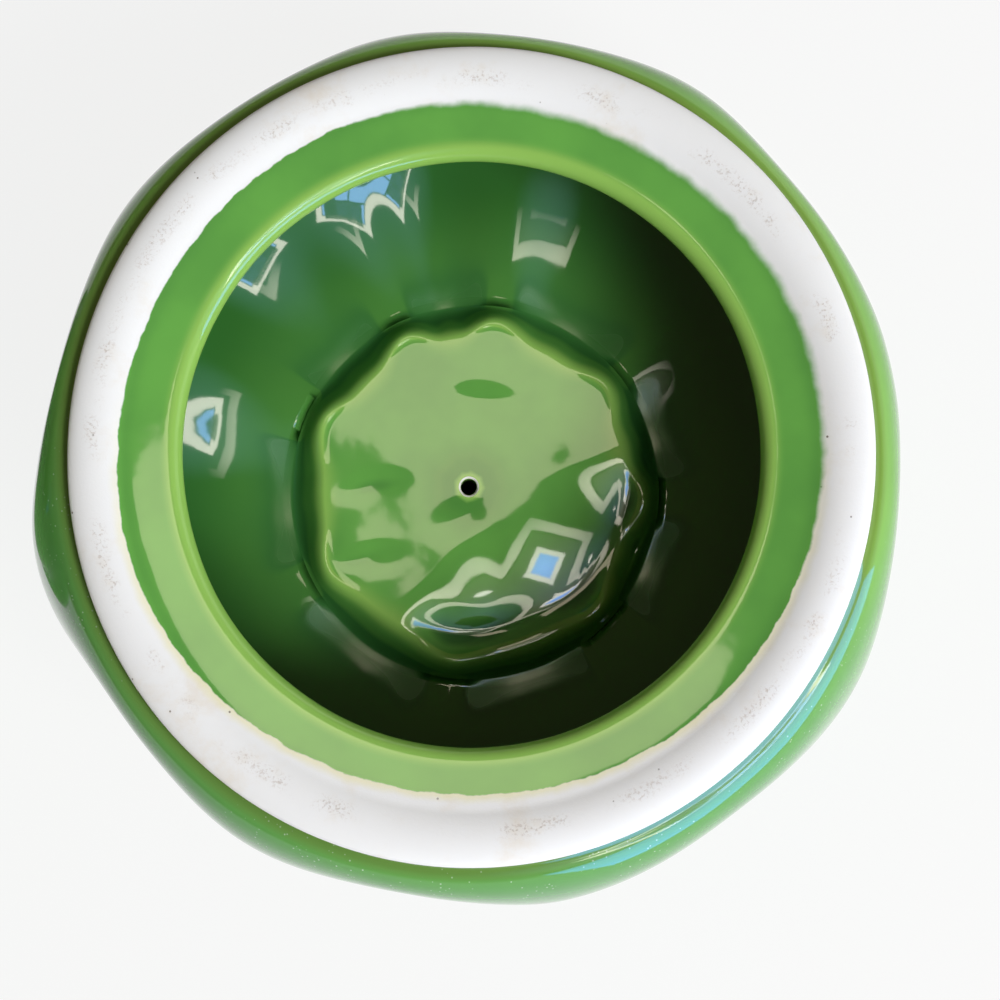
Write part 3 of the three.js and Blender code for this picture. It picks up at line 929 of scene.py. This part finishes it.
# %% The line where the lid's glaze ends
GLAZE_LINE = 77.3
GLAZE_LINE_WAVES = [(1, 0.7, 109), (2, 0.5, 30), (3, 0.4, -86), (4, 0.3, 92)]  # how many, mm, first crest
GLAZE_LINE_RAGGED = 1.6
LINE_EDGE = (-0.15, 0.2)
LINE_SOFTER = 1.1
SOFT_CORNER = (35, 95)  # sums of the ways to the right and up between which it grows soft
BAND_TOP = (3.2, 2.6)  # the bare clay ends between these heights, wherever the line is
HALO_WIDTH = (2.4, 0.2)  # mm beyond the line
HALO_DEPTH = 0.65
HALO_SPAN = (20, -45)  # ways up the picture between which it shows more and more


def beyond_line(tree, right, up):
    """How far a spot lies outside the line, in mm, and how far it lies from the lid's axis."""
    flat = add(tree, "ShaderNodeCombineXYZ", {0: right, 1: up})
    radius = add(tree, "ShaderNodeVectorMath", {0: flat}, operation="LENGTH").outputs["Value"]
    angle = calc(tree, "ARCTAN2", up, right)
    cloud = speckle(tree, flat, 5.0, 3.0)
    line = calc(tree, "MULTIPLY_ADD", cloud, GLAZE_LINE_RAGGED, GLAZE_LINE - GLAZE_LINE_RAGGED / 2)
    for waves, size, first_crest in GLAZE_LINE_WAVES:
        turned = calc(tree, "MULTIPLY_ADD", angle, waves, -math.radians(first_crest))
        line = calc(tree, "MULTIPLY_ADD", calc(tree, "COSINE", turned), size, line)
    return calc(tree, "SUBTRACT", radius, line), radius


def lid_bareness(tree, beyond, right, up, height):
    softness = times(tree, share_between(tree, calc(tree, "ADD", right, up), *SOFT_CORNER), LINE_SOFTER)
    begins = calc(tree, "SUBTRACT", LINE_EDGE[0], softness)
    ends = calc(tree, "ADD", LINE_EDGE[1], softness)
    low = share_between(tree, height, *BAND_TOP)
    band = times(tree, share_between(tree, beyond, begins, ends), low)
    vent_rim = share_between(tree, stored_value(tree, "bare"), 0.3, 0.7)
    return calc(tree, "MAXIMUM", band, vent_rim)


# %% [markdown]
# Outside, the lid is painted darker and bluer on the lower side of the picture, painted shade with a
# bluish painted skylight, and it is pricked with pale specks there. Just above the band it is painted
# olive, a painted shadow where the collar meets the flare. A faint ring on the band shows where the lid
# has rubbed on the jar's ledge.

# %% The lid's material
# Painted shade: a darker, bluer green for the lower side of the outside, standing in for shade and
# skylight.
SHADED_SIDE_GREEN = "#3f8a4c"
SHADE_SLANT = 0.3  # what a millimetre to the right counts for against one up, as the painted shade lies askew
SHADE_SPAN = (20, -60)
SHADE_RADII = (79, 97)
PRICK_PALE = "#dfeedd"
PRICK_SPACING = 1.5
PRICK_RADII = (0.1, 0.16)
PRICK_PATCHES = 14.0
PRICK_CLOUDS = (0.48, 0.56)
# Painted shadow: an olive line just above the band, where the collar meets the flare.
COLLAR_SHADOW_OLIVE = "#4a5416"
COLLAR_SHADOW_HEIGHTS = (5.2, 3.4)
OUTSIDE_RADII = (86, 89)
WEAR_RADIUS = 83.6
WEAR_WIDTH = (2.6, 0.3)
WEAR_PATCHES = 11.0
WEAR_CLOUDS = (0.42, 0.6)


def lid_shade_and_specks(tree, spot, right, up, height, radius):
    # Painted shade, darker and bluer towards the lower side of the picture, where the pale specks also lie.
    slanted_up = calc(tree, "MULTIPLY_ADD", right, SHADE_SLANT, up)
    outer_side = share_between(tree, radius, *SHADE_RADII)
    shaded_side = times(tree, share_between(tree, slanted_up, *SHADE_SPAN), outer_side)
    some = share_between(tree, speckle(tree, spot, PRICK_PATCHES), *PRICK_CLOUDS)
    pricks = times(tree, times(tree, cell_dots(tree, spot, PRICK_SPACING, *PRICK_RADII), some), shaded_side)
    outside_band = share_between(tree, radius, *OUTSIDE_RADII)
    # Painted shadow just above the band, in olive.
    collar_shadow = times(tree, share_between(tree, height, *COLLAR_SHADOW_HEIGHTS), outside_band)
    shares = [times(tree, shaded_side, 0.6), times(tree, pricks, 0.5), times(tree, collar_shadow, 0.75)]
    return zip(shares, [SHADED_SIDE_GREEN, PRICK_PALE, COLLAR_SHADOW_OLIVE])


def lid_material():
    material, tree = new_material("green_glaze_and_bare_band")
    spot = stored_value(tree, "spot", "Vector")
    right, up, height = add(tree, "ShaderNodeSeparateXYZ", {0: spot}).outputs
    beyond, radius = beyond_line(tree, right, up)
    bare = lid_bareness(tree, beyond, right, up, height)
    halo_depth = times(tree, share_between(tree, up, *HALO_SPAN), HALO_DEPTH)
    halo = times(tree, share_between(tree, beyond, *HALO_WIDTH), halo_depth)
    off_wear = calc(tree, "ABSOLUTE", calc(tree, "SUBTRACT", radius, WEAR_RADIUS))
    rubbed = share_between(tree, speckle(tree, spot, WEAR_PATCHES, 2.0), *WEAR_CLOUDS)
    worn = times(tree, share_between(tree, off_wear, *WEAR_WIDTH), rubbed)
    clay = bare_clay(tree, spot, worn, halo)
    covered = glaze(tree, spot, stains=lid_shade_and_specks(tree, spot, right, up, height, radius))
    both = add(tree, "ShaderNodeMixShader", {0: bare, 1: covered, 2: clay})
    add(tree, "ShaderNodeOutputMaterial", {"Surface": both})
    return material


lid.data.materials.append(lid_material())

# %% [markdown]
# The jar has the same glaze. Its ledge and its foot were wiped, and the edge of the glaze is a little
# ragged there.

# %% The jar: glaze, bare ledge and foot
def jar_material():
    material, tree = new_material("green_glaze_and_bare_ledge")
    spot = stored_value(tree, "spot", "Vector")
    ragged = calc(tree, "MULTIPLY_ADD", speckle(tree, spot, 4.0, 3.0), 0.5, -0.25)
    bare = share_between(tree, calc(tree, "ADD", stored_value(tree, "bare"), ragged), 0.42, 0.58)
    both = add(tree, "ShaderNodeMixShader", {0: bare, 1: glaze(tree, spot), 2: bare_clay(tree, spot, 0.3)})
    add(tree, "ShaderNodeOutputMaterial", {"Surface": both})
    return material


jar.data.materials.append(jar_material())

# %% [markdown]
# The stem was brushed with a yellower glaze than the rest, as a pepper's stem is paler than its skin.

# %% The stem: a yellower glaze
STEM_THIN = "#a9bd62"
STEM_USUAL = "#7d9c3f"
STEM_DEEP = "#46691f"


def stem_material():
    material, tree = new_material("yellow_green_glaze")
    covered = glaze(tree, stored_value(tree, "spot", "Vector"), STEM_THIN, STEM_USUAL, STEM_DEEP)
    add(tree, "ShaderNodeOutputMaterial", {"Surface": covered})
    return material


stem.data.materials.append(stem_material())
for piece in (lid, jar, stem):
    print(piece.name, "is covered with", piece.data.materials[0].name)

# %% [markdown]
# ## Floor and light
# Pottery is photographed on a white sweep by a window. The window stands low on one side, so that it
# lights one wall of the lid's inside and leaves the other in the dark. Glazes are judged by what they
# mirror: the window's panes, a pale card overhead, a second window, and a room that is pale down by
# the floor.

# %% Floor
def seen_or_mirrored(tree):
    """1 for what the camera sees, straight or in a mirror or glass, and 0 for light on the object."""
    path = add(tree, "ShaderNodeLightPath")
    either = calc(tree, "MAXIMUM", path.outputs["Is Camera Ray"], path.outputs["Is Glossy Ray"])
    return calc(tree, "MAXIMUM", either, path.outputs["Is Transmission Ray"])


FLOOR_SIZE = 8.0
FLOOR_MIDDLE = (0.13, 0, 0)
FLOOR_WHITE = "#f4f4f4"
FLOOR_LIFT = 0.85  # share of the floor's looks that is plain white, which leaves its shadows soft
bpy.ops.mesh.primitive_plane_add(size=FLOOR_SIZE, location=FLOOR_MIDDLE)
floor = bpy.context.object
floor.name = "floor"
floor_paint, tree = new_material("white_floor")
matt = add(tree, "ShaderNodeBsdfDiffuse", {"Color": colour(FLOOR_WHITE)})
plain_white = add(tree, "ShaderNodeEmission", {"Color": (1, 1, 1, 1), "Strength": 1.0})
lifted = times(tree, seen_or_mirrored(tree), FLOOR_LIFT)
both = add(tree, "ShaderNodeMixShader", {0: lifted, 1: matt, 2: plain_white})
add(tree, "ShaderNodeOutputMaterial", {"Surface": both})
floor.data.materials.append(floor_paint)


# %% Lamps
def from_lid(right, up, out):
    """A place by the lying lid, in millimetres as the picture shows it."""
    return lying.translation + (view_right * right + view_up * up + out_of_lid * out) * MM


def facing(way):
    """The turn of a lamp that shines that way."""
    return way.to_track_quat("-Z", "Y").to_matrix()


def lamp(name, place, aim, width, height, radiance, tint, lights=True, mirrored=True, beam=math.pi):
    """A rectangle of light, with its size in metres, that faces what it aims at."""
    data = bpy.data.lights.new(name, "AREA")
    data.shape = "RECTANGLE"
    data.size = width
    data.size_y = height
    data.color = colour(tint)[:3]
    data.energy = radiance * math.pi * width * height
    if beam < math.pi:  # a narrowed lamp would shine brighter, so this takes the surplus away
        data.spread = beam
        data.energy *= 1 - (beam / 2) / math.tan(beam / 2)
    holder = bpy.data.objects.new(name, data)
    bpy.context.scene.collection.objects.link(holder)
    holder.matrix_world = Matrix.Translation(place) @ facing(aim - place).to_4x4()
    holder.visible_camera = False
    holder.visible_diffuse = lights
    holder.visible_glossy = mirrored
    return holder


# %% [markdown]
# The window is built twice. Its even daylight is one plain lamp, which lights the clay and the glaze.
# What the glaze mirrors is drawn by panes of sky between white curtains, which light nothing.

# %% The window
inside_lid = from_lid(0, 0, -30)
WINDOW_WAY = Vector((0.475, -0.475, 0.741))
WINDOW_DISTANCE = 1400
DAYLIGHT_SIZE = (0.55, 0.48)
DAYLIGHT = 22.5
DAYLIGHT_TINT = "#fff9fa"
window_place = from_lid(*(WINDOW_WAY * WINDOW_DISTANCE))
lamp("daylight", window_place, inside_lid, *DAYLIGHT_SIZE, DAYLIGHT, DAYLIGHT_TINT, mirrored=False)

WINDOW_PANES = (3, 2)
PANE_WIDTH = 0.19
PANE_HEIGHT = 0.18
PANE_BAR = 0.02
CURTAIN = 0.07
SKY = "#8fb9ff"
SKY_RADIANCE = 14.0
CURTAIN_WHITE = "#fff6ea"
CURTAIN_RADIANCE = 13.0
window_turn = facing(inside_lid - window_place)


def in_window(name, right, up, width, height, radiance, tint):
    place = window_place + window_turn @ Vector((right, up, 0))
    lamp(name, place, place + inside_lid - window_place, width, height, radiance, tint, lights=False)


for column in range(WINDOW_PANES[0]):
    for row in range(WINDOW_PANES[1]):
        right = (column - (WINDOW_PANES[0] - 1) / 2) * (PANE_WIDTH + PANE_BAR)
        up = (row - (WINDOW_PANES[1] - 1) / 2) * (PANE_HEIGHT + PANE_BAR)
        in_window("pane_%d_%d" % (column, row), right, up, PANE_WIDTH, PANE_HEIGHT, SKY_RADIANCE, SKY)
half_width = WINDOW_PANES[0] * (PANE_WIDTH + PANE_BAR) / 2
half_height = WINDOW_PANES[1] * (PANE_HEIGHT + PANE_BAR) / 2
for side in (-1, 1):
    curtain_right = side * (half_width + CURTAIN / 2)
    in_window("curtain", curtain_right, 0, CURTAIN, 2 * half_height, CURTAIN_RADIANCE, CURTAIN_WHITE)
    sill_up = side * (half_height + CURTAIN / 2)
    in_window("sill", 0, sill_up, 2 * (half_width + CURTAIN), CURTAIN, CURTAIN_RADIANCE, CURTAIN_WHITE)
print("the window is", round(2 * half_width, 2), "by", round(2 * half_height, 2), "m without its curtains")

# %% [markdown]
# Two more things show in the glaze only: a warm ceiling card over the photographer's head, which the
# plateau and the near side of the shelf mirror, and a strip of sky low beside the lid.

# %% Ceiling card and sky strip
CARD_DISTANCE = 1500
CARD_WAY = (0.03, 0.22)
CARD_SIZE = (0.345, 0.42)
CARD_RADIANCE = 4.7
CARD_TINT = "#ffeed1"
card_place = from_lid(CARD_WAY[0] * CARD_DISTANCE, CARD_WAY[1] * CARD_DISTANCE, CARD_DISTANCE)
lamp("ceiling_card", card_place, inside_lid, *CARD_SIZE, CARD_RADIANCE, CARD_TINT, lights=False)
SKY_STRIP_PLACE = (150, -135, 7)
SKY_STRIP_SIZE = (0.24, 0.16)
SKY_STRIP_RADIANCE = 8.0
SKY_STRIP_TINT = "#3f9fff"
strip_place = from_lid(*SKY_STRIP_PLACE)
strip_aim = Vector((lying.translation.x, lying.translation.y, strip_place.z))
lamp("sky_strip", strip_place, strip_aim, *SKY_STRIP_SIZE, SKY_STRIP_RADIANCE, SKY_STRIP_TINT, lights=False)

# %% [markdown]
# A small window close to the lid is mirrored only in the plateau's sag: a pane of sky in a white frame,
# a grey-green reveal, and a pale architrave. Its lamps shine in a narrow beam at the sag, as through a
# snoot, so that the walls don't mirror it as well.

# %% The small window
SAG_SPOT = (19.9, -22.5, -53.5)
SMALL_WINDOW_WAY = (0.2, -0.2, 1.0)
SMALL_WINDOW_DISTANCE = 184
SMALL_WINDOW_HALF = (0.048, 0.044)  # in metres
BEAM = math.radians(40)
SMALL_WINDOW_RINGS = [  # shares of the half size from where to where, colour, radiance
    (0.76, 1.0, "#fff6e4", 13.0),
    (0.38, 0.72, "#b9b6a2", 3.4),
    (0.25, 0.38, "#fffaf0", 15.0),
    (0.0, 0.25, "#8db6ff", 19.0),
]
sag_place = from_lid(*SAG_SPOT)
small_place = from_lid(*(Vector(SAG_SPOT) + Vector(SMALL_WINDOW_WAY) * SMALL_WINDOW_DISTANCE))
small_turn = facing(sag_place - small_place)


def strip(right, up, half_width, half_height, tint, radiance):
    place = small_place + small_turn @ Vector((right, up, 0))
    aim = place + sag_place - small_place
    size = (2 * half_width, 2 * half_height)
    lamp("small_window", place, aim, *size, radiance, tint, lights=False, beam=BEAM)


for inner, outer, tint, radiance in SMALL_WINDOW_RINGS:
    width, height = [half * outer for half in SMALL_WINDOW_HALF]
    hole_width, hole_height = [half * inner for half in SMALL_WINDOW_HALF]
    if inner == 0:
        strip(0, 0, width, height, tint, radiance)
    else:
        for side in (-1, 1):
            strip(0, side * (height + hole_height) / 2, width, (height - hole_height) / 2, tint, radiance)
            strip(side * (width + hole_width) / 2, 0, (width - hole_width) / 2, hole_height, tint, radiance)
print("the small window stands at", [round(value, 3) for value in small_place])

# %% [markdown]
# The room is dim, but pale down by the floor, as the white sweep behind the pottery is. Round the
# window the air glows.

# %% Room
world = bpy.data.worlds.new("studio")
bpy.context.scene.world = world
world.use_nodes = True
tree = world.node_tree
tree.nodes.clear()
AMBIENT = 0.12
ROOM_TINT = "#ffe6bd"
SWEEP_TINT = "#fbfcff"
SWEEP_TOP = (0.26, 0.1)  # sines of the heights above the floor between which it turns pale
HAZE_REACH = math.radians(31)
HAZE_STRENGTH = 1.7
HAZE_TINT = "#aee6ff"
way = add(tree, "ShaderNodeTexCoord").outputs["Generated"]
height = add(tree, "ShaderNodeSeparateXYZ", {0: way}).outputs[2]
sweep = share_between(tree, height, *SWEEP_TOP)
room = blend(tree, sweep, colour(ROOM_TINT), colour(SWEEP_TINT))
strength = calc(tree, "MULTIPLY_ADD", sweep, 1 - AMBIENT, AMBIENT)
towards_window = (window_place - lying.translation).normalized()
compared = add(tree, "ShaderNodeVectorMath", {0: way, 1: towards_window}, operation="DOT_PRODUCT")
near_window = share_between(tree, compared.outputs["Value"], math.cos(HAZE_REACH), 1.0)
haze = times(tree, near_window, HAZE_STRENGTH)
background = add(tree, "ShaderNodeBackground", {"Color": room, "Strength": strength})
window_haze = add(tree, "ShaderNodeBackground", {"Color": colour(HAZE_TINT), "Strength": haze})
together = add(tree, "ShaderNodeAddShader", {0: background, 1: window_haze})
add(tree, "ShaderNodeOutputWorld", {"Surface": together})
bpy.context.scene.view_settings.view_transform = "Standard"
print("the haze round the window reaches", round(math.degrees(HAZE_REACH)), "degrees")
